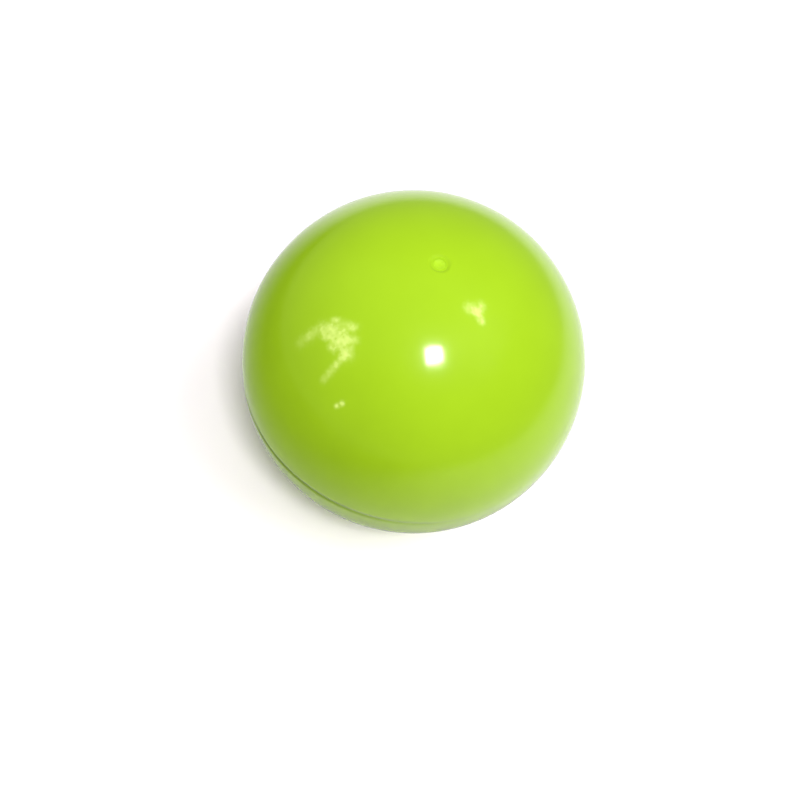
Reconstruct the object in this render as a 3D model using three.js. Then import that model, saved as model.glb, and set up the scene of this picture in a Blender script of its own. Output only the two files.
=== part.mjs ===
import * as THREE from "three";

// An inflatable playground ball with a moulded rubber cover, a thread winding, a bladder and a needle valve.
// Lengths are in millimetres and angles in degrees. The origin is the ball's centre, +Z runs out through
// the valve, and the mould seam lies in the XY plane. Polar angles are measured from +Z.

// Ball and its layers, from the outside in
const ballRadius = 108;
const coverThickness = 1.6;
const windingThickness = 0.5;
const bladderThickness = 0.8;
const flangeThickness = 1.0;
const patchThickness = 0.8;
const layerGap = 0.3;

// Mould seam: a shallow V round the equator, where the two cover halves meet
const seamGrooveHalfWidth = 1.2;
const seamGrooveDepth = 0.8;

// Valve recess, and the opening through every layer for the housing's neck
const recessRadius = 5.6;
const recessDepth = 0.9;
const openingRadius = 4.8;

// Valve housing: a necked tube with a flange inside the bladder
const neckRadius = 4.5;
const neckBelowSurface = 0.8;
const headSocketRadius = 3.7;
const headSocketDepth = 1.6;
const boreRadius = 2.6;
const tubeTipRadius = 3.9;
const tubeBottom = 88;
const tubeFloorThickness = 1.3;
const tubeMouthRadius = 1.2;
const flangeRadius = 16;

// Reinforcing patch over the flange
const patchHoleRadius = 6;
const patchRadius = 22;
const patchStepClearance = 0.6;

// Valve core: a plug with a headed shank, sealing ribs and a blind needle channel
const headRadius = 3.4;
const headThickness = 1.0;
const shankRadius = 2.3;
const ribGrooveDepth = 0.25;
const ribPitch = 3.6;
const ribCount = 4;
const coreTipRadius = 1.4;
const coreTipLength = 1.2;
const needleChannelRadius = 0.95;
const needleLeadInRadius = 1.6;
const needleLeadInDepth = 0.6;
const needleChannelEndAboveTip = 3.0;

// Facets
const stepsAroundBall = 36;
const stepsAroundValve = 24;
const ringStep = 10;
const ringStepNearValve = 5;
const valveRegionEnd = 20;
const bottomPole = 180;
const sameLength = 1e-6;

const windingOuterRadius = ballRadius - coverThickness - layerGap;
const windingInnerRadius = windingOuterRadius - windingThickness;
const bladderOuterRadius = windingInnerRadius - layerGap;
const bladderInnerRadius = bladderOuterRadius - bladderThickness;
const flangeOuterRadius = bladderInnerRadius - layerGap;
const flangeInnerRadius = flangeOuterRadius - flangeThickness;
const neckTop = ballRadius - neckBelowSurface;
const headSocketFloor = neckTop - headSocketDepth;
const headBottom = headSocketFloor + layerGap;
const headTop = headBottom + headThickness;
const coreBottom = tubeBottom + tubeFloorThickness + 2 * layerGap;

function radians(degrees) {
  return THREE.MathUtils.degToRad(degrees);
}

// Polar angle of the point on a sphere that lies at a distance from the Z axis, in the upper half.
function angleAtDistance(sphereRadius, distance) {
  return THREE.MathUtils.radToDeg(Math.asin(distance / sphereRadius));
}

// Polar angle of the point on a sphere at a height above the XY plane.
function angleAtHeight(sphereRadius, height) {
  return THREE.MathUtils.radToDeg(Math.acos(height / sphereRadius));
}

// Height at which a sphere lies at a distance from the Z axis.
function heightAt(sphereRadius, distance) {
  return Math.sqrt(sphereRadius ** 2 - distance ** 2);
}

// One profile point: x is the distance from the Z axis and y is the height along it.
function at(distance, height) {
  return new THREE.Vector2(distance, height);
}

function onSphere(sphereRadius, angle) {
  const distance = sphereRadius * Math.sin(radians(angle));
  return at(Math.abs(distance) < sameLength ? 0 : distance, sphereRadius * Math.cos(radians(angle)));
}

// Points on a sphere between two polar angles. Every layer turns at the same angles, so that the
// facets of neighbouring layers lie parallel and keep their gap.
function sphereArc(sphereRadius, fromAngle, toAngle) {
  const angles = [fromAngle];
  for (let angle = ringStepNearValve; angle < toAngle; angle += ringStepNearValve) {
    const used = angle <= valveRegionEnd || angle % ringStep === 0;
    if (used && angle > fromAngle) angles.push(angle);
  }
  angles.push(toAngle);
  return angles.map((angle) => onSphere(sphereRadius, angle));
}

// Turns a closed profile about the Z axis, and leaves out the empty faces where it runs along that axis.
function revolve(profile, stepsAround) {
  const lathe = new THREE.LatheGeometry([...profile, profile[0]], stepsAround);
  lathe.rotateX(Math.PI / 2);
  const position = lathe.getAttribute("position");
  const corners = lathe.index.array;
  const kept = [];
  const triangle = new THREE.Triangle();
  for (let i = 0; i < corners.length; i += 3) {
    triangle.setFromAttributeAndIndices(position, corners[i], corners[i + 1], corners[i + 2]);
    if (triangle.getArea() > sameLength) kept.push(corners[i], corners[i + 1], corners[i + 2]);
  }
  lathe.setIndex(kept);
  return lathe;
}

function rubber(colour, roughness) {
  return new THREE.MeshStandardMaterial({ color: colour, roughness, metalness: 0 });
}

function named(name, geometry, material) {
  const mesh = new THREE.Mesh(geometry, material);
  mesh.name = name;
  return mesh;
}

// Upper cover half: an outer skin that dips into the valve recess and is bevelled at the seam.
function upperCoverProfile() {
  const innerRadius = ballRadius - coverThickness;
  const seamHeight = layerGap / 2;
  return [
    at(openingRadius, heightAt(innerRadius, openingRadius)),
    ...sphereArc(
      innerRadius,
      angleAtDistance(innerRadius, openingRadius),
      angleAtHeight(innerRadius, seamHeight),
    ).slice(1),
    at(ballRadius - seamGrooveDepth, seamHeight),
    ...sphereArc(
      ballRadius,
      angleAtDistance(ballRadius, recessRadius),
      angleAtHeight(ballRadius, seamGrooveHalfWidth),
    ).reverse(),
    at(openingRadius, heightAt(ballRadius, recessRadius) - recessDepth),
  ];
}

// Lower cover half: the same skin with a closed pole in place of the valve opening.
function lowerCoverProfile() {
  const innerRadius = ballRadius - coverThickness;
  const seamHeight = -layerGap / 2;
  return [
    ...sphereArc(innerRadius, angleAtHeight(innerRadius, seamHeight), bottomPole),
    ...sphereArc(
      ballRadius,
      angleAtHeight(ballRadius, -seamGrooveHalfWidth),
      bottomPole,
    ).reverse(),
    at(ballRadius - seamGrooveDepth, seamHeight),
  ];
}

// A whole spherical shell that is open only where the valve's neck goes through it.
function shellProfile(outerRadius, innerRadius) {
  return [
    ...sphereArc(innerRadius, angleAtDistance(innerRadius, openingRadius), bottomPole),
    ...sphereArc(outerRadius, angleAtDistance(outerRadius, openingRadius), bottomPole).reverse(),
  ];
}

// Patch: a cured ring that covers the flange and steps up beyond its edge to lie on the bladder.
function patchProfile() {
  const underFlange = flangeInnerRadius - layerGap;
  const onBladder = bladderInnerRadius - 2 * layerGap;
  const stepRadius = flangeRadius + patchStepClearance;
  const innerStepRadius = stepRadius + patchThickness;
  const lowerInner = underFlange - patchThickness;
  const upperInner = onBladder - patchThickness;
  return [
    at(patchHoleRadius, heightAt(lowerInner, patchHoleRadius)),
    at(innerStepRadius, heightAt(lowerInner, innerStepRadius)),
    at(innerStepRadius, heightAt(upperInner, innerStepRadius)),
    at(patchRadius, heightAt(upperInner, patchRadius)),
    at(patchRadius, heightAt(onBladder, patchRadius)),
    at(stepRadius, heightAt(onBladder, stepRadius)),
    at(stepRadius, heightAt(underFlange, stepRadius)),
    at(patchHoleRadius, heightAt(underFlange, patchHoleRadius)),
  ];
}

// Valve housing: the tube hangs inside the ball, the flange lies under the bladder, and the neck
// reaches up through the layers to the bottom of the recess.
function housingProfile() {
  const floorTop = tubeBottom + tubeFloorThickness;
  return [
    at(tubeMouthRadius, tubeBottom),
    at(tubeMouthRadius, floorTop),
    at(boreRadius, floorTop),
    at(boreRadius, headSocketFloor),
    at(headSocketRadius, headSocketFloor),
    at(headSocketRadius, neckTop),
    at(neckRadius, neckTop),
    at(neckRadius, heightAt(flangeOuterRadius, neckRadius)),
    ...sphereArc(
      flangeOuterRadius,
      angleAtDistance(flangeOuterRadius, neckRadius),
      angleAtDistance(flangeOuterRadius, flangeRadius),
    ).slice(1),
    ...sphereArc(
      flangeInnerRadius,
      angleAtDistance(flangeInnerRadius, neckRadius),
      angleAtDistance(flangeInnerRadius, flangeRadius),
    ).reverse(),
    at(tubeTipRadius, tubeBottom),
  ].reverse();
}

// Valve core: head, ribbed shank and tapered tip outside, and the needle's lead-in and channel inside.
function coreProfile() {
  const shankBottom = coreBottom + coreTipLength;
  const channelEnd = coreBottom + needleChannelEndAboveTip;
  const ribs = [];
  for (let i = 0; i < ribCount; i += 1) {
    const groove = shankBottom + ribPitch * (i + 0.5);
    ribs.push(at(shankRadius, groove - ribPitch / 4));
    ribs.push(at(shankRadius - ribGrooveDepth, groove));
    ribs.push(at(shankRadius, groove + ribPitch / 4));
  }
  return [
    at(0, coreBottom),
    at(coreTipRadius, coreBottom),
    at(shankRadius, shankBottom),
    ...ribs,
    at(shankRadius, headBottom),
    at(headRadius, headBottom),
    at(headRadius, headTop),
    at(needleLeadInRadius, headTop),
    at(needleChannelRadius, headTop - needleLeadInDepth),
    at(needleChannelRadius, channelEnd),
    at(0, channelEnd - needleChannelRadius / 2),
  ];
}

const coverRubber = () => rubber("#a6d42a", 0.28);
const ball = new THREE.Group();

ball.add(named("cover_upper", revolve(upperCoverProfile(), stepsAroundBall), coverRubber()));
ball.add(named("cover_lower", revolve(lowerCoverProfile(), stepsAroundBall), coverRubber()));

const winding = shellProfile(windingOuterRadius, windingInnerRadius);
const windingThread = rubber("#e6e2d6", 0.9);
ball.add(named("nylon_winding", revolve(winding, stepsAroundBall), windingThread));

const bladder = shellProfile(bladderOuterRadius, bladderInnerRadius);
ball.add(named("bladder", revolve(bladder, stepsAroundBall), rubber("#26272a", 0.6)));
ball.add(named("valve_patch", revolve(patchProfile(), stepsAroundValve), rubber("#303135", 0.7)));
ball.add(named("valve_housing", revolve(housingProfile(), stepsAroundValve), rubber("#8fbf2c", 0.45)));
ball.add(named("valve_core", revolve(coreProfile(), stepsAroundValve), rubber("#9acb30", 0.4)));

export default ball;
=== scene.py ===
# %% [markdown]
# # An inflatable playground ball
#
# The real ball is a stack of thin shells. A butyl rubber bladder holds the air, nylon thread wound round
# it keeps it round, and a cover of coloured rubber is pressed and cured over the winding in a two-part
# mould. A soft valve sits at the top pole, and the joint of the two mould halves runs round the equator.
#
# The CAD frame holds these pieces as plain facets at their true sizes. It is loaded first and stays
# where it is. Everything made below is a smoother, finished piece that stands for one CAD node, in
# metres, with the ball's centre at the origin and +Z out through the valve.

# %% Load the frame
import math

import bmesh
import bpy
import numpy as np
from mathutils import Matrix, Vector, noise


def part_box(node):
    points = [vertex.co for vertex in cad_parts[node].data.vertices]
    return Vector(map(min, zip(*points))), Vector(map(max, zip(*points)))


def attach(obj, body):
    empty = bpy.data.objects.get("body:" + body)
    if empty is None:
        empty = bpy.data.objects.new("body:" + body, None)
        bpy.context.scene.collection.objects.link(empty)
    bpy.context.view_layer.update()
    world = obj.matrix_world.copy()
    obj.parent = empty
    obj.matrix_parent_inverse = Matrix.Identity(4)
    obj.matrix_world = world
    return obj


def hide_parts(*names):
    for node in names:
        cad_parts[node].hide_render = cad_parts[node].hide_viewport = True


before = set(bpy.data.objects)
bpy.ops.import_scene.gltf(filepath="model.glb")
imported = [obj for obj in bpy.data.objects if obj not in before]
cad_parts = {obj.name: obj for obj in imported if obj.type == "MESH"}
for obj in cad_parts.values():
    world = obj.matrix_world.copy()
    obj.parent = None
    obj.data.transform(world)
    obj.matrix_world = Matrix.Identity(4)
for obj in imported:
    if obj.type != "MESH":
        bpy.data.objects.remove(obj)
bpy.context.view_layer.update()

MM = 0.001
scene = bpy.context.scene

# %% [markdown]
# ## Sizes
#
# Lengths that the frame can give are read from its boxes, so that the finished pieces fit it. The rest
# are the shop dimensions of the rubber parts, in millimetres: how thick each layer is, and how wide the
# openings are. The layers below lie a hair apart, because each is a separate piece.

# %% Read the ball's main sizes from the frame
def lowest(node):
    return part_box(node)[0] / MM


def highest(node):
    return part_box(node)[1] / MM


ball_radius = -lowest("cover_lower").z
winding_radius = -lowest("nylon_winding").z
bladder_radius = -lowest("bladder").z
patch_radius = highest("valve_patch").x
flange_radius = highest("valve_housing").x
neck_top = highest("valve_housing").z
tube_bottom = lowest("valve_housing").z
head_radius = highest("valve_core").x
head_top = highest("valve_core").z
core_bottom = lowest("valve_core").z
print(f"ball radius {ball_radius:.1f} mm, valve head at {head_top:.1f} mm")

# %% Shop dimensions that no box shows, in millimetres
cover_thickness = 1.6
bladder_thickness = 0.8
flange_thickness = 1.0
patch_thickness = 0.8
layer_gap = 0.3
neck_radius = 4.6
opening_radius = 4.7
tiny = 1e-6

# %% [markdown]
# ## The camera
#
# The ball is looked down on from about 60 degrees, by someone standing at a table with the camera
# turned a little, so that the valve leans to the right of straight up. The camera stands a little over
# five ball radii from the ball's centre. At that short distance the lower edge of the outline lies below
# the equator, and the seam shows just inside it. Its lens is a moderate one, a little longer than a phone's.

# %% Place the camera
camera_elevation = math.radians(59.4)
camera_turn = math.radians(15.0)
camera_distance = 5.2 * ball_radius * MM
aim_left_of_centre = 8.4 * MM
aim_below_centre = 23.7 * MM
lens_mm = 39.4
sensor_mm = 36.0


def viewing_axes(elevation, turn):
    """The right, up and backward directions of a camera in front of the ball."""
    backward = Vector((0, -math.cos(elevation), math.sin(elevation)))
    level_right = Vector((1, 0, 0))
    level_up = backward.cross(level_right)
    right = level_right * math.cos(turn) + level_up * math.sin(turn)
    up = level_up * math.cos(turn) - level_right * math.sin(turn)
    return right, up, backward


def add_camera():
    right, up, backward = viewing_axes(camera_elevation, camera_turn)
    place = backward * camera_distance
    aim = -right * aim_left_of_centre - up * aim_below_centre
    backward = (place - aim).normalized()
    right = up.cross(backward).normalized()
    up = backward.cross(right)
    camera = bpy.data.objects.new("camera", bpy.data.cameras.new("camera"))
    camera.data.lens = lens_mm
    camera.data.sensor_width = sensor_mm
    camera.data.clip_start = 0.01
    turned_axes = Matrix((right, up, backward)).transposed()
    camera.matrix_world = Matrix.Translation(place) @ turned_axes.to_4x4()
    scene.collection.objects.link(camera)
    return camera


scene.camera = add_camera()
print("the camera stands at", [round(part, 3) for part in scene.camera.location])

# %% [markdown]
# ## A way to turn pieces
#
# Every piece of this ball is round about Z, as if made on a lathe: a closed outline of radius and height
# is swept round the axis. A screw modifier could do it, but writing the faces directly keeps control of
# the spacing, which has to be fine at the seam and the valve and can be coarse on the open sphere.
# Corners of moulded rubber are never sharp, so an outline's corners can be given a fillet.

# %% Sweep an outline round the axis
def turned(name, outline, steps, sharp_above=40.0):
    """A closed outline of (radius, height) points in mm, revolved about Z into one closed mesh."""
    points = []
    rings = []
    for radius, height in outline:
        if radius < tiny:
            rings.append([len(points)] * steps)
            points.append((0, 0, height * MM))
            continue
        rings.append(list(range(len(points), len(points) + steps)))
        for step in range(steps):
            turn = 2 * math.pi * step / steps
            points.append((radius * MM * math.cos(turn), radius * MM * math.sin(turn), height * MM))
    faces = []
    for ring, following in zip(rings, rings[1:] + rings[:1]):
        for step in range(steps):
            beside = (step + 1) % steps
            corners = [ring[step], ring[beside], following[beside], following[step]]
            corners = list(dict.fromkeys(corners))
            if len(corners) > 2:
                faces.append(corners)
    mesh = bpy.data.meshes.new(name)
    mesh.from_pydata(points, [], faces)
    face_outward(mesh)
    mesh.shade_smooth()
    mesh.set_sharp_from_angle(angle=math.radians(sharp_above))
    piece = bpy.data.objects.new(name, mesh)
    scene.collection.objects.link(piece)
    return piece


def face_outward(mesh):
    work = bmesh.new()
    work.from_mesh(mesh)
    bmesh.ops.recalc_face_normals(work, faces=work.faces[:])
    if work.calc_volume(signed=True) < 0:
        bmesh.ops.reverse_faces(work, faces=work.faces[:])
    work.to_mesh(mesh)
    work.free()


# %% Round an outline's corners
fillet_steps = 5


def rounded(corners):
    """(radius, height, fillet) corners to outline points, with a smooth curve at each fillet."""
    outline = []
    for index, (radius, height, fillet) in enumerate(corners):
        corner = Vector((radius, height))
        if fillet == 0:
            outline.append((radius, height))
            continue
        before = (Vector(corners[index - 1][:2]) - corner).normalized() * fillet
        after = (Vector(corners[(index + 1) % len(corners)][:2]) - corner).normalized() * fillet
        for step in range(fillet_steps + 1):
            share = step / fillet_steps
            point = corner + before * (1 - share) ** 2 + after * share**2
            outline.append((point.x, point.y))
    return outline


# %% Space rings along a stretch
def stations(length, finest, coarsest, growth=0.2):
    """Distances along a stretch, close together at both ends and further apart between them."""
    found = [0.0]
    while found[-1] < length:
        nearest_end = min(found[-1], max(length - found[-1], 0))
        found.append(found[-1] + min(coarsest, finest + growth * nearest_end))
    scale = length / found[-1]
    return [distance * scale for distance in found]


def smooth(share):
    """0 to 1 with a soft start and end."""
    share = np.clip(share, 0.0, 1.0)
    return share * share * (3 - 2 * share)


def on_sphere(radius, polar):
    distance = radius * math.sin(polar)
    return (distance if distance > tiny else 0.0, radius * math.cos(polar))


def height_on(radius, distance):
    return math.sqrt(radius**2 - distance**2)


def sphere_arc(radius, from_polar, to_polar, finest=1.0, coarsest=4.0):
    """Outline points on a sphere between two polar angles, in radians."""
    length = abs(to_polar - from_polar) * radius
    way = 1 if to_polar > from_polar else -1
    return [on_sphere(radius, from_polar + way * s / radius) for s in stations(length, finest, coarsest)]


# %% [markdown]
# ## The cover's two halves
#
# The cover is lime green rubber, 1.6 mm thick, cured in a mould of two bowls. Where the bowls meet, the
# rubber draws in to a shallow valley with soft shoulders, and one half stands a hair proud of the other
# because no mould closes perfectly. At the top pole the skin dips into a small dish round the valve.
# A sphere primitive has none of this. The outline carries the dish and the mould step. The valley comes
# later, because it is not the same all round: its depth follows how the joint was trimmed.

# %% The skin's depth rules
mould_step = 0.06
dish_radius = 6.6
dish_depth = 0.8
dish_floor_width = 0.6


def valve_dip(distance):
    """How far the skin lies below the sphere at a distance from the valve's axis, in mm."""
    return dish_depth * smooth((dish_radius - distance) / (dish_radius - opening_radius + dish_floor_width))


# %% Turn the two halves
steps_around_ball = 360
seam_gap = 0.02
skin_rings = {"finest": 0.22, "coarsest": 1.9, "growth": 0.12}
inner_radius = ball_radius - cover_thickness
neck_clearance = 0.02


def skin_points(radius, upper):
    """The outer skin from the seam towards a pole, as (radius, height) points."""
    way = 1 if upper else -1
    stop = math.asin(opening_radius / radius) if upper else 0.0
    length = (math.pi / 2 - stop) * radius
    points = []
    for distance in stations(length, **skin_rings):
        polar = math.pi / 2 - distance / radius
        across = radius * math.sin(polar)
        dip = valve_dip(across) if upper else 0
        skin, height = on_sphere(radius - dip, polar)
        points.append((skin, way * max(height, seam_gap)))
    return points


def upper_outline():
    skin = skin_points(ball_radius, upper=True)
    lip, lip_height = skin[-1]
    wall_top = (lip - 0.12, lip_height - 0.06)
    wall_middle = (neck_radius + neck_clearance, lip_height - 0.3)
    wall_bottom = (neck_radius + neck_clearance, height_on(inner_radius, neck_radius))
    inner = sphere_arc(inner_radius, math.asin(neck_radius / inner_radius), math.pi / 2)
    inner = [(across, max(height, seam_gap)) for across, height in inner]
    return skin + [wall_top, wall_middle, wall_bottom] + inner[1:]


def lower_outline():
    skin = skin_points(ball_radius - mould_step, upper=False)
    inner = sphere_arc(inner_radius, math.pi, math.pi / 2)
    return skin + [(across, min(height, -seam_gap)) for across, height in inner]


upper_skin = turned("upper_skin", upper_outline(), steps_around_ball)
lower_skin = turned("lower_skin", lower_outline(), steps_around_ball)
print("cover halves:", len(upper_skin.data.polygons), "and", len(lower_skin.data.polygons), "faces")

# %% [markdown]
# ## Wear on the cover, with painted glints
#
# A ball that has been played with is not perfect. This one has a rubbed patch on its upper left with a
# drag mark running down beside it, a three-cornered scuff near the valve, and a pair of small nicks. Each
# mark is a few strokes on the sphere, in millimetres east and north of the mark's centre. Marks like these
# come about by chance, so loops lay the strokes from a few sizes: a drag is a line that skips, and a rub is
# a scatter of short touches. Strokes also push the skin in a little and write how worn it is into the mesh,
# so that the finish knows where the gloss has gone. The finish also paints the marks a pale chalky green:
# a painted highlight, standing in for the glints that light makes on them. Painting a picture would need
# an image file.

# %% Two ways to lay strokes: from east, north, to east, north, half width, strength
golden_angle = 137.5


def one_mm(heading):
    """A step of 1 mm on a heading, in degrees from east towards north."""
    return np.array([math.cos(math.radians(heading)), math.sin(math.radians(heading))])


def drag(start, heading, length, skips, half_width, strength, filled=0.7, fade=0.6):
    """A line that skips. Each skip is marked for a share of its length, and the last ones are weaker."""
    strokes = []
    for number in range(skips):
        begin = np.array(start) + one_mm(heading) * length * number / skips
        end = begin + one_mm(heading) * filled * length / skips
        strokes.append((*begin, *end, half_width, strength * (1 - fade * number / skips)))
    return strokes


def rub(middle, reach, touches, heading, length, half_width, strength, seed):
    """Short touches spread over a disc by the golden angle, each a little different."""
    chance = np.random.default_rng(seed)
    strokes = []
    for number in range(touches):
        out = reach * math.sqrt((number + 0.5) / touches)
        begin = np.array(middle) + one_mm(golden_angle * number) * out
        turn, size, force = chance.uniform((-35, 0.6, 0.5), (35, 1.2, 1.0))
        end = begin + one_mm(heading + turn) * length * size
        strokes.append((*begin, *end, half_width * size, strength * force))
    return strokes


# %% Lay the three marks
rubbed_patch_with_glint = {"polar": 38, "longitude": -133, "strokes": (
    rub((0, 4), 9, 14, 20, 4, 3.4, 0.65, seed=3)
    + drag((12, 5), -85, 25, 4, 2.3, 0.6)
    + drag((-9, -3), -100, 16, 2, 3.6, 0.32)
)}
corner_scuff_with_glint = {"polar": 18, "longitude": -39, "strokes": (
    drag((0, 1), 125, 7, 1, 3.0, 0.5)
    + drag((0, 1), 15, 6, 1, 3.0, 0.5)
    + drag((0, 1), -95, 9, 1, 2.2, 0.55)
)}
twin_nicks_with_glint = {"polar": 51, "longitude": -112, "strokes": (
    drag((-2, -1), 60, 7, 2, 1.5, 1.0, filled=0.15, fade=0)
)}
marks = [rubbed_patch_with_glint, corner_scuff_with_glint, twin_nicks_with_glint]
for mark in marks:
    print("mark at polar", mark["polar"], "has", len(mark["strokes"]), "strokes")

# %% How a stroke wears the skin, and where it paints a glint, at a set of points
def mark_axes(mark):
    """The outward, east and north directions at a mark's centre."""
    polar = math.radians(mark["polar"])
    longitude = math.radians(mark["longitude"])
    outward = np.array([
        math.sin(polar) * math.cos(longitude),
        math.sin(polar) * math.sin(longitude),
        math.cos(polar),
    ])
    east = np.array([-math.sin(longitude), math.cos(longitude), 0.0])
    return outward, east, np.cross(outward, east)


def ragged(directions, pitch):
    """Smooth noise from -1 to 1 whose bumps are about pitch mm wide, one value for each direction."""
    scale = ball_radius / pitch
    return np.array([noise.noise(Vector(direction) * scale) for direction in directions])


def wear_and_glint_at(directions, mark):
    """How worn the skin is, from 0 to 1, at unit directions near a mark; the finish also paints the mark
    pale there, as a painted highlight.
    """
    outward, east, north = mark_axes(mark)
    here = np.stack([directions @ east, directions @ north], axis=1) * ball_radius
    fray = ragged(directions, 4.0) * 0.4 + ragged(directions, 1.5) * 0.5
    flecks = 1 + 0.5 * ragged(directions, 2.2)
    intact = np.ones(len(directions))
    for from_east, from_north, to_east, to_north, half_width, strength in mark["strokes"]:
        start = np.array([from_east, from_north])
        run = np.array([to_east, to_north]) - start
        share = np.clip((here - start) @ run / (run @ run), 0, 1)
        distance = np.linalg.norm(here - start - share[:, None] * run, axis=1) / half_width
        intact *= 1 - strength * np.exp(-1.5 * np.clip(distance - 0.5 * fray, 0, None) ** 2)
    return np.clip((1 - intact) * flecks, 0, 1) * (directions @ outward > 0)


# %% Cut the mesh finer where the marks lie
mark_margin = 4
rounds_of_cutting = 2


def mark_reach(mark):
    """How far a mark and its frayed edge reach from its centre, in mm."""
    ends = [end for stroke in mark["strokes"] for end in (stroke[:2], stroke[2:4])]
    return max(math.hypot(*end) for end in ends) + mark_margin


def cut_finer(mesh, mark):
    """Cuts the outer skin's faces finer round a mark, and puts the new corners back on the sphere."""
    outward = Vector(mark_axes(mark)[0])
    work = bmesh.new()
    work.from_mesh(mesh)
    for _ in range(rounds_of_cutting):
        near = []
        for face in work.faces:
            middle = face.calc_center_median()
            on_skin = middle.length > (ball_radius - cover_thickness / 2) * MM
            if on_skin and (middle - outward * middle.length).length < mark_reach(mark) * MM:
                near.append(face)
        edges = list({edge for face in near for edge in face.edges})
        cut = bmesh.ops.subdivide_edges(work, edges=edges, cuts=1, use_grid_fill=True)
        for element in cut["geom_inner"]:
            if isinstance(element, bmesh.types.BMVert):
                element.co = element.co.normalized() * ball_radius * MM
    work.to_mesh(mesh)
    work.free()


for mark in marks:
    cut_finer(upper_skin.data, mark)
print("upper skin after cutting finer:", len(upper_skin.data.polygons), "faces")

# %% [markdown]
# ## Shaping the skin
#
# An inflated ball is round but never exact: the winding under the cover leaves very low swells, a few
# hundredths of a millimetre high and a few centimetres wide. They show only as a slight waver in the
# reflections. The valley at the seam is deepest on one side, where the joint was trimmed hardest, and
# fades almost away on the other. Both are put into the mesh, not into a bump map, so the exported
# shape has them too.

# %% The seam's valley
seam_half_width = 3.4
seam_depth = 0.65
seam_shoulder = 0.05
seam_shoulder_reach = 4.6
seam_shoulder_half_width = 1.4
shade_half_width = 3.2
deepest_side = math.radians(-165)
least_share = 0.05


def seam_reach(directions):
    """Each point's distance from the seam in mm, and how hard the joint beside it was trimmed."""
    distance = np.abs(np.arcsin(directions[:, 2])) * ball_radius
    turn = np.arctan2(directions[:, 1], directions[:, 0]) - deepest_side
    trimmed = smooth(0.3 + 0.8 * np.cos(turn))
    return distance, least_share + (1 - least_share) * trimmed


def seam_dip(directions):
    """How far the skin lies below the sphere, in mm, at unit directions on it."""
    distance, trimmed = seam_reach(directions)
    valley = seam_depth * (1 - smooth(distance / seam_half_width)) ** 1.4
    shoulder = seam_shoulder * np.exp(-(((distance - seam_shoulder_reach) / seam_shoulder_half_width) ** 2))
    return (valley - shoulder) * trimmed


def seam_shade_at(directions):
    """How much painted shade the seam's valley gets, from 0 to 1: colour darkened to stand in for its shade.
    """
    distance, trimmed = seam_reach(directions)
    return smooth(1.3 - distance / shade_half_width) * trimmed


# %% Push the corners of both halves, and write the wear, which also drives painted glints, and the seam's painted shade
swell_height = 0.07
swell_width = 34.0
wear_depth = 0.16


def write_values(mesh, name, values):
    layer = mesh.attributes.new(name, "FLOAT", "POINT")
    layer.data.foreach_set("value", np.asarray(values, np.float32))


def shape_skin(piece, skin_radius, skin_marks):
    mesh = piece.data
    places = np.empty(len(mesh.vertices) * 3)
    mesh.vertices.foreach_get("co", places)
    places = places.reshape(-1, 3)
    radii = np.linalg.norm(places, axis=1)
    directions = places / radii[:, None]
    outside = radii > (skin_radius - cover_thickness * 0.7) * MM
    wear_and_painted_glint = np.zeros(len(places))
    for mark in skin_marks:
        outward = mark_axes(mark)[0]
        near = outside & (directions @ outward > math.cos(mark_reach(mark) / ball_radius))
        wear_and_painted_glint[near] = np.maximum(wear_and_painted_glint[near], wear_and_glint_at(directions[near], mark))
    dip = seam_dip(directions) * outside
    grain = ragged(directions, 2.0)
    lift = swell_height * ragged(directions, swell_width) - dip
    lift -= wear_depth * wear_and_painted_glint * (0.6 + 0.8 * grain)
    places += directions * (lift * MM)[:, None]
    mesh.vertices.foreach_set("co", places.ravel())
    # The wear values also paint the marks pale in the finish: a painted highlight.
    write_values(mesh, "wear_and_painted_glint", wear_and_painted_glint)
    # The seam values darken the finish's colour in the valley: painted shade.
    write_values(mesh, "painted_seam_shade", seam_shade_at(directions) * outside)
    mesh.update()
    return wear_and_painted_glint


upper_wear_and_painted_glint = shape_skin(upper_skin, ball_radius, marks)
shape_skin(lower_skin, ball_radius - mould_step, [])
print("worn corners:", int((upper_wear_and_painted_glint > 0.05).sum()))

# %% [markdown]
# ## The valve
#
# The valve housing is a soft rubber tube with a wide flange. The flange is bonded inside the bladder, and
# its neck comes up through every layer to the bottom of the dish. The core is a separate plug with a
# ribbed shank that is pushed into the tube. A pump's needle slides down its middle, and when it is drawn
# out the rubber closes again. The head is a shallow bowl, which leads the needle to the slit. Both pieces
# are turned, with fillets on each edge, since cut edges would catch light as no moulded rubber does. The
# core rides on its own body, because it can be pulled out.

# %% Turn the housing
steps_around_valve = 96
head_socket_radius = 3.42
head_socket_floor = neck_top - 1.6
bore_radius = 2.45
tube_tip_radius = 3.9
tube_floor = 1.3
tube_mouth_radius = 1.2
bladder_inside = bladder_radius - bladder_thickness
flange_outside = bladder_inside - layer_gap
flange_inside = flange_outside - flange_thickness


def flange_arc(radius, from_distance, to_distance):
    return sphere_arc(radius, math.asin(from_distance / radius), math.asin(to_distance / radius), 0.6, 2.0)


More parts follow.
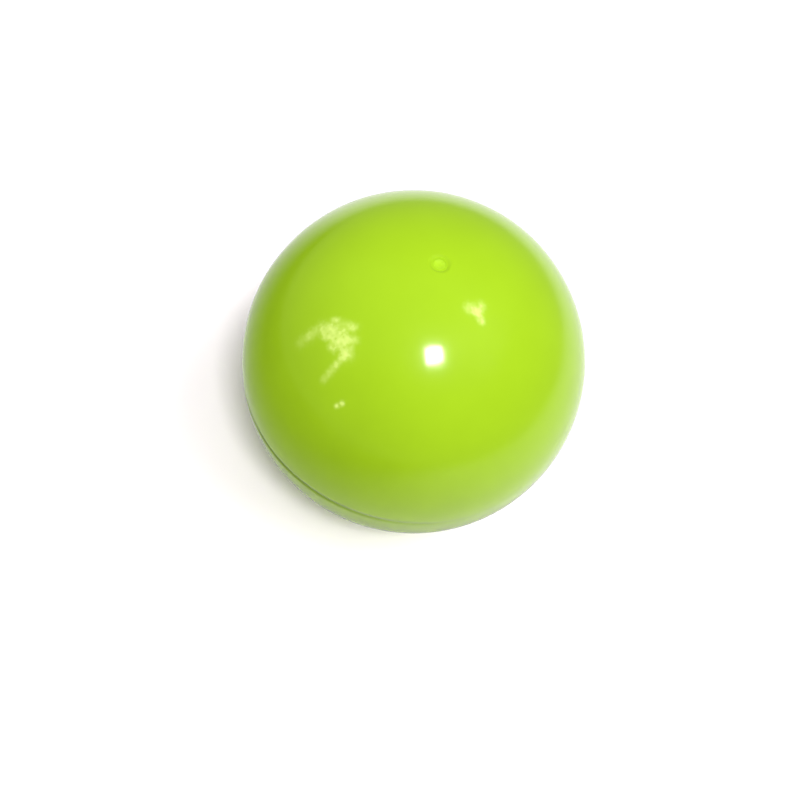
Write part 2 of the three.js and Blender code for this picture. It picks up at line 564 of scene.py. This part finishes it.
def housing_outline():
    floor_top = tube_bottom + tube_floor
    bore = rounded([
        (tube_tip_radius, tube_bottom, 0.5),
        (tube_mouth_radius, tube_bottom, 0.3),
        (tube_mouth_radius, floor_top, 0.3),
        (bore_radius, floor_top, 0.3),
        (bore_radius, head_socket_floor, 0.4),
        (head_socket_radius, head_socket_floor, 0.2),
        (head_socket_radius, neck_top, 0.04),
        (neck_radius, neck_top, 0.05),
        (neck_radius, height_on(flange_outside, neck_radius) + 0.4, 0),
    ])
    top = flange_arc(flange_outside, neck_radius + 0.4, flange_radius - 0.3)
    under = flange_arc(flange_inside, flange_radius - 0.3, neck_radius + 0.8)
    edge_radius = flange_radius
    edge_height = height_on(flange_outside, flange_radius) - flange_thickness / 2
    return bore + top + [(edge_radius, edge_height)] + under


housing = turned("housing_moulding", housing_outline(), steps_around_valve)
print("housing:", len(housing.data.polygons), "faces")

# %% Turn the core
shank_radius = 2.3
rib_height = 0.12
rib_pitch = 2.4
rib_points = 7
funnel_radius = 2.9
funnel_curve = 6.8
funnel_steps = 8
head_thickness = 1.0
head_lip = 0.08
core_tip_radius = 1.4
core_tip_length = 1.2
needle_slit_radius = 0.2
needle_slit_end = core_bottom + 3.0


def shank_points(bottom, top):
    """A ribbed wall from bottom to top, as a row of shallow waves that seal against the bore."""
    count = int((top - bottom) / rib_pitch) * rib_points
    points = []
    for step in range(count + 1):
        share = step / count
        wave = math.cos(2 * math.pi * step / rib_points)
        points.append((shank_radius - rib_height * (1 - wave) / 2, bottom + share * (top - bottom)))
    return points


def funnel_points():
    """The bowl in the head that leads a needle to the slit, from its rim inwards."""
    points = []
    for step in range(funnel_steps + 1):
        across = funnel_radius + (needle_slit_radius - funnel_radius) * step / funnel_steps
        sunk = height_on(funnel_curve, across) - height_on(funnel_curve, funnel_radius)
        points.append((across, head_top - sunk, 0))
    return points


def core_outline():
    head_bottom = head_top - head_thickness
    shank_bottom = core_bottom + core_tip_length
    below = rounded([
        (0, core_bottom, 0),
        (core_tip_radius, core_bottom, 0.4),
        (shank_radius, shank_bottom, 0),
    ])
    head = rounded([
        (shank_radius, head_bottom, 0),
        (head_radius, head_bottom, 0.25),
        (head_radius, head_top + head_lip, 0.05),
        (funnel_radius + 0.2, head_top + head_lip, 0.15),
        *funnel_points(),
        (needle_slit_radius, needle_slit_end, 0.2),
        (0, needle_slit_end - 0.4, 0),
    ])
    return below[:-1] + shank_points(shank_bottom, head_bottom) + head


core = turned("core_plug", core_outline(), steps_around_valve)
print("core:", len(core.data.polygons), "faces")

# %% [markdown]
# ## The hidden layers
#
# Nobody sees the inside unless the cover is cut, but it is what makes the ball work. The bladder is a
# thin black butyl shell with a faint seam of its own. The patch is a ring cured over the flange. The
# winding is nylon thread: on a real ball it is hundreds of metres of one thread, laid in great circles.
# Here it is a thin cemented layer with a smaller number of circles raised from it, each a thin tube,
# drawn thicker than the real thread so that it reads as thread. Every circle stays clear of the neck.

# %% Turn the bladder and the patch
steps_around_layers = 180
layer_rings = {"finest": 0.8, "coarsest": 3.0}
neck_hole_radius = 4.8
bladder_seam_height = 0.12
bladder_seam_half_width = 1.2


def bladder_outline():
    start = math.asin(neck_hole_radius / bladder_radius)
    outside = []
    for across, height in sphere_arc(bladder_radius, start, math.pi, **layer_rings):
        rise = bladder_seam_height * math.exp(-((height / bladder_seam_half_width) ** 2))
        grown = (bladder_radius + rise) / bladder_radius
        outside.append((across * grown, height))
    end = math.asin(neck_hole_radius / bladder_inside)
    inside = sphere_arc(bladder_inside, math.pi, end, **layer_rings)
    return outside + inside


def patch_outline():
    upper = flange_inside - layer_gap
    lying = bladder_inside - 2 * layer_gap
    step = flange_radius + 0.6
    hole = 6.0
    return rounded([
        (hole, height_on(upper - patch_thickness, hole), 0.25),
        (step + patch_thickness, height_on(upper - patch_thickness, step + patch_thickness), 0.5),
        (step + patch_thickness, height_on(lying - patch_thickness, step + patch_thickness), 0.5),
        (patch_radius, height_on(lying - patch_thickness, patch_radius), 0.3),
        (patch_radius, height_on(lying, patch_radius), 0.1),
        (step, height_on(lying, step), 0.4),
        (step, height_on(upper, step), 0.3),
        (hole, height_on(upper, hole), 0.25),
    ])


bladder = turned("bladder_shell", bladder_outline(), steps_around_layers)
patch = turned("patch_ring", patch_outline(), steps_around_valve)
print("bladder:", len(bladder.data.polygons), "faces; patch:", len(patch.data.polygons), "faces")

# %% Turn the cemented layer and lay the thread on it
thread_count = 84
thread_steps = 150
thread_sides = 5
thread_radius = 0.16
carcass_radius = winding_radius - 2 * thread_radius
carcass_thickness = 0.15
least_tilt = 0.065


def carcass_outline():
    hole = neck_hole_radius
    outside = sphere_arc(carcass_radius, math.asin(hole / carcass_radius), math.pi, **layer_rings)
    inner = carcass_radius - carcass_thickness
    return outside + sphere_arc(inner, math.pi, math.asin(hole / inner), **layer_rings)


def thread_circle(index):
    """The points and faces of one great circle of thread; its tilt keeps it off the valve's neck."""
    golden = math.pi * (3 - math.sqrt(5))
    rise = least_tilt + (1 - least_tilt) * (index + 0.5) / thread_count
    flat = math.sqrt(1 - rise * rise)
    pole = Vector((flat * math.cos(golden * index), flat * math.sin(golden * index), rise))
    first = pole.orthogonal().normalized()
    second = pole.cross(first)
    reach = winding_radius - thread_radius * 1.05
    points = []
    for step in range(thread_steps):
        turn = 2 * math.pi * step / thread_steps
        outward = first * math.cos(turn) + second * math.sin(turn)
        for side in range(thread_sides):
            around = 2 * math.pi * side / thread_sides
            offset = outward * math.cos(around) + pole * math.sin(around)
            points.append((outward * reach + offset * thread_radius) * MM)
    faces = []
    for step in range(thread_steps):
        for side in range(thread_sides):
            here = step * thread_sides
            ahead = (step + 1) % thread_steps * thread_sides
            beside = (side + 1) % thread_sides
            faces.append((here + side, here + beside, ahead + beside, ahead + side))
    return points, faces


def wind_thread():
    points, faces = [], []
    for index in range(thread_count):
        circle_points, circle_faces = thread_circle(index)
        start = len(points)
        points += circle_points
        faces += [tuple(start + corner for corner in face) for face in circle_faces]
    mesh = bpy.data.meshes.new("winding_threads")
    mesh.from_pydata(points, [], faces)
    face_outward(mesh)
    mesh.shade_smooth()
    piece = bpy.data.objects.new("winding_threads", mesh)
    scene.collection.objects.link(piece)
    return piece


carcass = turned("winding_layer", carcass_outline(), steps_around_layers)
threads = wind_thread()
print("winding:", thread_count, "circles of thread,", len(threads.data.polygons), "faces")

# %% [markdown]
# ## Finishes
#
# Each finish is a node network on a Principled shader. One function adds a node, sets its values and
# links its inputs, and another turns sRGB hex values into the linear numbers that a shader needs.
# Patterns are placed by object coordinates, in metres, so a pattern's scale is one over the size of what
# it draws.

# %% Two helpers for every finish
def linear(hex_colour):
    """An sRGB hex colour as the linear red, green, blue and alpha that a shader takes."""
    found = []
    for start in (1, 3, 5):
        value = int(hex_colour[start:start + 2], 16) / 255
        found.append(value / 12.92 if value <= 0.04045 else ((value + 0.055) / 1.055) ** 2.4)
    return (*found, 1.0)


def add(material, kind, inputs=None, **settings):
    """Adds a node. settings are its own properties; inputs are values or other nodes' outputs."""
    node = material.node_tree.nodes.new(kind)
    for name, value in settings.items():
        setattr(node, name, value)
    for name, value in (inputs or {}).items():
        if isinstance(value, bpy.types.NodeSocket):
            material.node_tree.links.new(value, node.inputs[name])
        else:
            node.inputs[name].default_value = value
    return node


def new_finish(name):
    """An empty material with its output node, and the object coordinates for its patterns."""
    material = bpy.data.materials.new(name)
    material.use_nodes = True
    material.node_tree.nodes.clear()
    place = add(material, "ShaderNodeTexCoord").outputs["Object"]
    return material, place


def show(material, shader):
    add(material, "ShaderNodeOutputMaterial", {"Surface": shader.outputs["BSDF"]})


FACTOR, COLOUR_A, COLOUR_B, COLOUR_OUT = 0, 6, 7, 2


def blend_colours(material, factor, first, second):
    inputs = {FACTOR: factor, COLOUR_A: first, COLOUR_B: second}
    return add(material, "ShaderNodeMix", inputs, data_type="RGBA").outputs[COLOUR_OUT]


def per_mm(size_mm):
    """A pattern scale whose cells are size_mm wide."""
    return 1 / (size_mm * MM)


# %% [markdown]
# ### Gloss cover rubber
#
# The cover is vulcanised rubber filled with a strong lime pigment, and takes its gloss from the polished
# mould. To the eye it is one saturated colour with a sharp highlight and a pale rim where the table is
# mirrored at a low angle. Round the highlight lies a wide faint glow: wax that has bloomed to the surface,
# which a rougher coat over the sharp base gives. Looked at closely the colour drifts a little, the gloss
# is duller where hands have been, and a very fine orange peel softens the reflections. Where it is worn,
# the gloss is duller and the colour is painted a chalky pale green, a painted highlight for the glints on
# the marks. The valley of the seam is painted a darker olive: painted shade.

# %% Gloss cover rubber
def gloss_cover_rubber():
    material, place = new_finish("gloss_cover_rubber")
    drift = add(material, "ShaderNodeTexNoise", {"Vector": place, "Scale": per_mm(60), "Detail": 3.0})
    handled = add(material, "ShaderNodeTexNoise", {"Vector": place, "Scale": per_mm(18), "Detail": 5.0})
    peel = add(material, "ShaderNodeTexNoise", {"Vector": place, "Scale": per_mm(2.5), "Detail": 2.0})
    wear_and_painted_glint = add(material, "ShaderNodeAttribute", attribute_name="wear_and_painted_glint").outputs["Fac"]
    painted_seam_shade = add(material, "ShaderNodeAttribute", attribute_name="painted_seam_shade").outputs["Fac"]
    lime = blend_colours(material, drift.outputs["Fac"], linear("#90b21a"), linear("#9bbf21"))
    # Painted highlight: worn places are mixed towards a pale chalky green, standing in for the glints on the
    # marks.
    lime_with_painted_glint = blend_colours(material, wear_and_painted_glint, lime, linear("#cbdd7b"))
    # Painted shade: the seam's valley is mixed towards a dark olive.
    shade_share = add(material, "ShaderNodeMath", {0: painted_seam_shade, 1: 0.5}, operation="MULTIPLY").outputs[0]
    colour = blend_colours(material, shade_share, lime_with_painted_glint, linear("#4c5c18"))
    gloss = add(material, "ShaderNodeMapRange", {
        "Value": handled.outputs["Fac"], "From Min": 0.35, "From Max": 0.7, "To Min": 0.11, "To Max": 0.17,
    }).outputs["Result"]
    dulled = add(material, "ShaderNodeMath", {0: wear_and_painted_glint, 1: 0.25, 2: gloss}, operation="MULTIPLY_ADD")
    bump = add(material, "ShaderNodeBump", {
        "Height": peel.outputs["Fac"], "Strength": 0.25, "Distance": 0.03 * MM,
    })
    show(material, add(material, "ShaderNodeBsdfPrincipled", {
        "Base Color": colour,
        "Roughness": dulled.outputs[0],
        "Normal": bump.outputs["Normal"],
        "IOR": 1.42,
        "Coat Weight": 0.15,
        "Coat Roughness": 0.3,
        "Coat IOR": 1.5,
    }))
    return material


cover_finish = gloss_cover_rubber()
upper_skin.data.materials.append(cover_finish)
lower_skin.data.materials.append(cover_finish)
print("finish:", cover_finish.name)

# %% [markdown]
# ### Soft valve rubber
#
# The housing and the core are moulded from a softer, cleaner rubber in nearly the same lime, with less
# gloss because their small moulds are left unpolished. The core is painted a shade paler, a painted
# highlight for the glint in the valve's dish. It carries a film of silicone oil, which makes it glisten a
# little more than the housing.

# %% Soft valve rubber, dry and oiled
def soft_valve_rubber(name, light, dark, roughness):
    material, place = new_finish(name)
    cloud = add(material, "ShaderNodeTexNoise", {"Vector": place, "Scale": per_mm(3), "Detail": 4.0})
    pits = add(material, "ShaderNodeTexNoise", {"Vector": place, "Scale": per_mm(0.35), "Detail": 2.0})
    colour = blend_colours(material, cloud.outputs["Fac"], linear(dark), linear(light))
    sheen = add(material, "ShaderNodeMapRange", {
        "Value": cloud.outputs["Fac"], "To Min": roughness - 0.06, "To Max": roughness + 0.06,
    })
    bump = add(material, "ShaderNodeBump", {
        "Height": pits.outputs["Fac"], "Strength": 0.4, "Distance": 0.02 * MM,
    })
    show(material, add(material, "ShaderNodeBsdfPrincipled", {
        "Base Color": colour,
        "Roughness": sheen.outputs["Result"],
        "Normal": bump.outputs["Normal"],
        "IOR": 1.5,
    }))
    return material


housing.data.materials.append(soft_valve_rubber("dry_valve_rubber", "#9ac01f", "#92b61c", 0.22))
# The core's paler lime is a painted highlight for the glint in the valve's dish.
core.data.materials.append(soft_valve_rubber("oiled_valve_rubber", "#a6ca2e", "#9ac020", 0.2))
print("valve finishes made")

# %% [markdown]
# ### Butyl, patch rubber, cement and nylon
#
# Butyl is black with carbon, dusted with talc so that it doesn't stick to itself: a soft grey bloom in
# uneven clouds. The patch is the same stock with the print of the cloth it was cured against. The winding
# is off-white nylon, faintly yellowed by the rubber cement that holds it.

# %% Talc-dusted butyl
def dusted_butyl():
    material, place = new_finish("dusted_butyl")
    bloom = add(material, "ShaderNodeTexNoise", {"Vector": place, "Scale": per_mm(25), "Detail": 8.0})
    dusting = add(material, "ShaderNodeMapRange", {
        "Value": bloom.outputs["Fac"], "From Min": 0.45, "From Max": 0.75,
    }).outputs["Result"]
    colour = blend_colours(material, dusting, linear("#1d1e20"), linear("#6d6e70"))
    dull = add(material, "ShaderNodeMath", {0: dusting, 1: 0.3, 2: 0.5}, operation="MULTIPLY_ADD")
    bump = add(material, "ShaderNodeBump", {
        "Height": bloom.outputs["Fac"], "Strength": 0.3, "Distance": 0.05 * MM,
    })
    show(material, add(material, "ShaderNodeBsdfPrincipled", {
        "Base Color": colour,
        "Roughness": dull.outputs[0],
        "Normal": bump.outputs["Normal"],
    }))
    return material


bladder.data.materials.append(dusted_butyl())

# %% Cloth-printed patch rubber
def printed_patch_rubber():
    material, place = new_finish("cloth_printed_rubber")
    thread_pitch = per_mm(0.9) / math.pi
    warp = add(material, "ShaderNodeTexWave", {"Vector": place, "Scale": thread_pitch}, bands_direction="X")
    weft = add(material, "ShaderNodeTexWave", {"Vector": place, "Scale": thread_pitch}, bands_direction="Y")
    print_height = add(material, "ShaderNodeMath", {
        0: warp.outputs["Fac"], 1: weft.outputs["Fac"],
    }, operation="MULTIPLY").outputs[0]
    colour = blend_colours(material, print_height, linear("#1b1c1e"), linear("#34363a"))
    bump = add(material, "ShaderNodeBump", {"Height": print_height, "Distance": 0.1 * MM})
    show(material, add(material, "ShaderNodeBsdfPrincipled", {
        "Base Color": colour,
        "Roughness": 0.65,
        "Normal": bump.outputs["Normal"],
    }))
    return material


patch.data.materials.append(printed_patch_rubber())

# %% Cemented layer and nylon thread
def wound_nylon(name, light, dark, roughness):
    material, place = new_finish(name)
    stain = add(material, "ShaderNodeTexNoise", {"Vector": place, "Scale": per_mm(14), "Detail": 6.0})
    fibre = add(material, "ShaderNodeTexNoise", {"Vector": place, "Scale": per_mm(0.5), "Detail": 2.0})
    colour = blend_colours(material, stain.outputs["Fac"], linear(dark), linear(light))
    bump = add(material, "ShaderNodeBump", {"Height": fibre.outputs["Fac"], "Distance": 0.05 * MM})
    show(material, add(material, "ShaderNodeBsdfPrincipled", {
        "Base Color": colour,
        "Roughness": roughness,
        "Normal": bump.outputs["Normal"],
        "Sheen Weight": 0.3,
    }))
    return material


carcass.data.materials.append(wound_nylon("dried_rubber_cement", "#cdbf94", "#a4905c", 0.55))
threads.data.materials.append(wound_nylon("nylon_thread", "#f2eee2", "#d9d0b8", 0.7))
print("hidden layers finished")

# %% [markdown]
# ## The table and the light
#
# The ball lies on a white table under a bright room's lights. One square ceiling panel makes the small
# square highlight. The other lamps are broad and soft, and are kept out of the reflections, because they
# stand for light from the whole room, and would show in the gloss as large squares.
#
# A shiny ball mirrors the whole table as a pale rim. This ball's rim is pale behind and to the right and
# hardly so at the front left, as when something beside the table keeps the light off it. A bare studio has
# nothing there. So a glowing card at the table's height takes the table's place in the reflections alone,
# and is dim on that side. This is a stage trick: it is no part of the ball. The table itself is a faint
# pink white, which balances the green light that the ball throws onto it.

# %% A white table
table_size = 3.0


def white_table():
    mesh = bpy.data.meshes.new("table_top")
    half = table_size / 2
    height = -ball_radius * MM
    corners = [(-half, -half, height), (half, -half, height), (half, half, height), (-half, half, height)]
    mesh.from_pydata(corners, [], [(0, 1, 2, 3)])
    table = bpy.data.objects.new("table_top", mesh)
    scene.collection.objects.link(table)
    material, place = new_finish("white_laminate")
    cloud = add(material, "ShaderNodeTexNoise", {"Vector": place, "Scale": per_mm(120), "Detail": 3.0})
    colour = blend_colours(material, cloud.outputs["Fac"], linear("#f7f1f5"), linear("#fbf5f9"))
    show(material, add(material, "ShaderNodeBsdfPrincipled", {"Base Color": colour, "Roughness": 0.6}))
    mesh.materials.append(material)
    return table


table = white_table()

# %% The card that the ball mirrors
def mirrored_card():
    """The table as the ball's gloss sees it, a glowing painted reflection: bright behind and to the right,
    with painted shade at the front left and a painted shadow close to the ball.
    """
    mesh = table.data.copy()
    mesh.name = "mirrored_card"
    card = bpy.data.objects.new("mirrored_card", mesh)
    scene.collection.objects.link(card)
    material, place = new_finish("mirrored_card")
    dim_side = add(material, "ShaderNodeVectorMath", {
        0: place, 1: (0.85, 0.5, 0.0),
    }, operation="DOT_PRODUCT").outputs["Value"]
    away = add(material, "ShaderNodeVectorMath", {0: place}, operation="LENGTH").outputs["Value"]
    side_share = add(material, "ShaderNodeMapRange", {
        "Value": dim_side, "From Min": -0.42, "From Max": 0.06, "To Min": 0.02, "To Max": 1.0,
    }, interpolation_type="SMOOTHSTEP").outputs["Result"]
    far_share = add(material, "ShaderNodeMapRange", {
        "Value": away, "From Min": 0.5, "From Max": 1.5, "To Min": 1.0, "To Max": 0.32,
    }, interpolation_type="SMOOTHSTEP").outputs["Result"]
    # Close to the ball the card is dimmer: a painted shadow of the ball in the reflection.
    near_share = add(material, "ShaderNodeMapRange", {
        "Value": away, "From Min": 0.14, "From Max": 0.19, "To Min": 0.55, "To Max": 1.0,
    }, interpolation_type="SMOOTHSTEP").outputs["Result"]
    lit_share = add(material, "ShaderNodeMath", {0: side_share, 1: far_share}, operation="MULTIPLY")
    strength = add(material, "ShaderNodeMath", {
        0: lit_share.outputs[0], 1: near_share,
    }, operation="MULTIPLY")
    glow = add(material, "ShaderNodeEmission", {"Strength": strength.outputs[0]})
    add(material, "ShaderNodeOutputMaterial", {"Surface": glow.outputs["Emission"]})
    mesh.materials.clear()
    mesh.materials.append(material)
    card.visible_camera = False
    card.visible_diffuse = False
    card.visible_shadow = False
    table.visible_glossy = False
    return card


mirrored_card()

# %% The lamps and the room
def lamp(name, azimuth, elevation, distance, side, watts, mirrored=False):
    """A square lamp aimed at the ball. Azimuth 0 is +X, and angles are in degrees."""
    turn, rise = math.radians(azimuth), math.radians(elevation)
    towards = Vector((math.cos(rise) * math.cos(turn), math.cos(rise) * math.sin(turn), math.sin(rise)))
    light = bpy.data.lights.new(name, "AREA")
    light.shape = "SQUARE"
    light.size = side
    light.energy = watts
    placed = bpy.data.objects.new(name, light)
    placed.location = towards * distance
    placed.rotation_euler = towards.to_track_quat("Z", "Y").to_euler()
    placed.visible_glossy = mirrored
    placed.visible_camera = False
    scene.collection.objects.link(placed)
    return placed


lamp("ceiling_panel", -64, 65, 1.8, 0.31, 15.5, mirrored=True)
lamp("lamp_right", 0, 55, 2.0, 1.2, 19)
lamp("lamp_above", 0, 72, 2.0, 2.6, 23)
lamp("lamp_left", 180, 40, 2.0, 2.6, 23)


def room(seen, mirrored):
    """A plain room with one strength for the eye and one for the ball's gloss."""
    world = bpy.data.worlds.new("room")
    world.use_nodes = True
    rays = add(world, "ShaderNodeLightPath").outputs
    glossy = add(world, "ShaderNodeMath", {0: rays["Is Glossy Ray"], 1: mirrored}, operation="MULTIPLY")
    strength = add(world, "ShaderNodeMath", {
        0: rays["Is Camera Ray"], 1: seen, 2: glossy.outputs[0],
    }, operation="MULTIPLY_ADD")
    backdrop = world.node_tree.nodes["Background"]
    world.node_tree.links.new(strength.outputs[0], backdrop.inputs["Strength"])
    backdrop.inputs["Color"].default_value = linear("#ffffff")
    scene.world = world


room(seen=0.85, mirrored=0.3)
scene.view_settings.view_transform = "Standard"
scene.view_settings.look = "Medium High Contrast"

# %% [markdown]
# ## Joining the pieces to the frame
#
# Each piece rides on a body of the frame and stands for a CAD node, whose facets are hidden. The record's
# material slot for each is listed beside it, but nothing here sets it.
# The core is the only piece that moves by itself.

# %% Ride and replace, with the slot names listed but unused
for piece, body, node_name, slot_name in (
    (upper_skin, "ball", "cover_upper", "cover_rubber"),
    (lower_skin, "ball", "cover_lower", "cover_rubber"),
    (carcass, "ball", "nylon_winding", "winding_thread"),
    (threads, "ball", "nylon_winding", "winding_thread"),
    (bladder, "ball", "bladder", "bladder_rubber"),
    (patch, "ball", "valve_patch", "patch_rubber"),
    (housing, "ball", "valve_housing", "housing_rubber"),
    (core, "core", "valve_core", "core_rubber"),
):
    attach(piece, body)
    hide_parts(node_name)
print("pieces joined to the frame")
